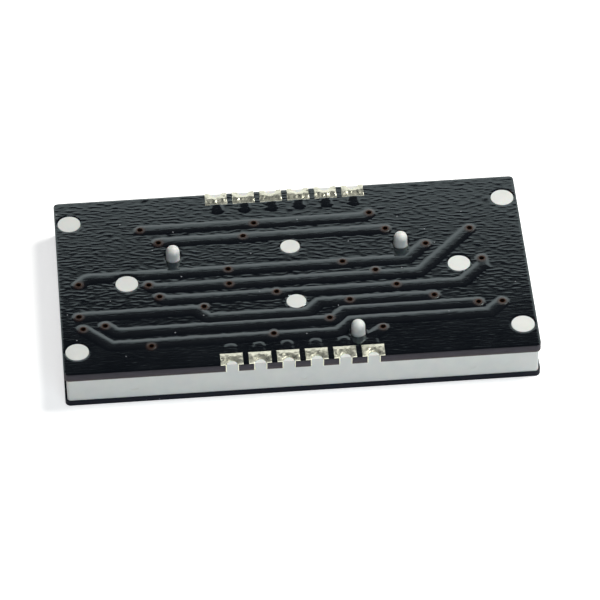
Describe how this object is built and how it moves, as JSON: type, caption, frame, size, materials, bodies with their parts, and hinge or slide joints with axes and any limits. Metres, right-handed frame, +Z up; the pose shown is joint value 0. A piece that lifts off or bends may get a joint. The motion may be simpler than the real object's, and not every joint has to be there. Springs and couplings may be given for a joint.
{
  "type": "seven segment display",
  "caption": "Thin surface-mount LED numeric display: slanted seven-segment digits with decimal points, white reflector housing, black face and black circuit board with edge terminals.",
  "frame": {"origin": "middle of the footprint, on the plane that the lit face rests on", "axes": "+X along the row of digits, +Y towards the tops of the digits, +Z up out of the back of the board"},
  "size_m": [0.0428, 0.023, 0.0051],
  "materials": {
    "black_mask": "glossy solder mask",
    "copper": "dull copper plating",
    "white_plastic": "satin moulded white",
    "black_face": "matt black",
    "tinned_solder": "bright tin",
    "milky_resin": "milky cast resin",
    "chip": "polished semiconductor",
    "gold_wire": "bright gold"
  },
  "bodies": {
    "root": {"circuit_board": "black_mask", "via_barrels": "copper", "reflector_housing": "white_plastic", "face_plate": "black_face", "terminal_1": "tinned_solder", "terminal_2": "tinned_solder", "terminal_3": "tinned_solder", "terminal_4": "tinned_solder", "terminal_5": "tinned_solder", "terminal_6": "tinned_solder", "terminal_7": "tinned_solder", "terminal_8": "tinned_solder", "terminal_9": "tinned_solder", "terminal_10": "tinned_solder", "terminal_11": "tinned_solder", "terminal_12": "tinned_solder", "digit_1_chips": "chip", "digit_1_bond_wires": "gold_wire", "digit_1_segment_a": "milky_resin", "digit_1_segment_b": "milky_resin", "digit_1_segment_c": "milky_resin", "digit_1_segment_d": "milky_resin", "digit_1_segment_e": "milky_resin", "digit_1_segment_f": "milky_resin", "digit_1_segment_g": "milky_resin", "digit_1_point": "milky_resin", "digit_2_chips": "chip", "digit_2_bond_wires": "gold_wire", "digit_2_segment_a": "milky_resin", "digit_2_segment_b": "milky_resin", "digit_2_segment_c": "milky_resin", "digit_2_segment_d": "milky_resin", "digit_2_segment_e": "milky_resin", "digit_2_segment_f": "milky_resin", "digit_2_segment_g": "milky_resin", "digit_2_point": "milky_resin", "digit_3_chips": "chip", "digit_3_bond_wires": "gold_wire", "digit_3_segment_a": "milky_resin", "digit_3_segment_b": "milky_resin", "digit_3_segment_c": "milky_resin", "digit_3_segment_d": "milky_resin", "digit_3_segment_e": "milky_resin", "digit_3_segment_f": "milky_resin", "digit_3_segment_g": "milky_resin", "digit_3_point": "milky_resin"}
  },
  "joints": []
}
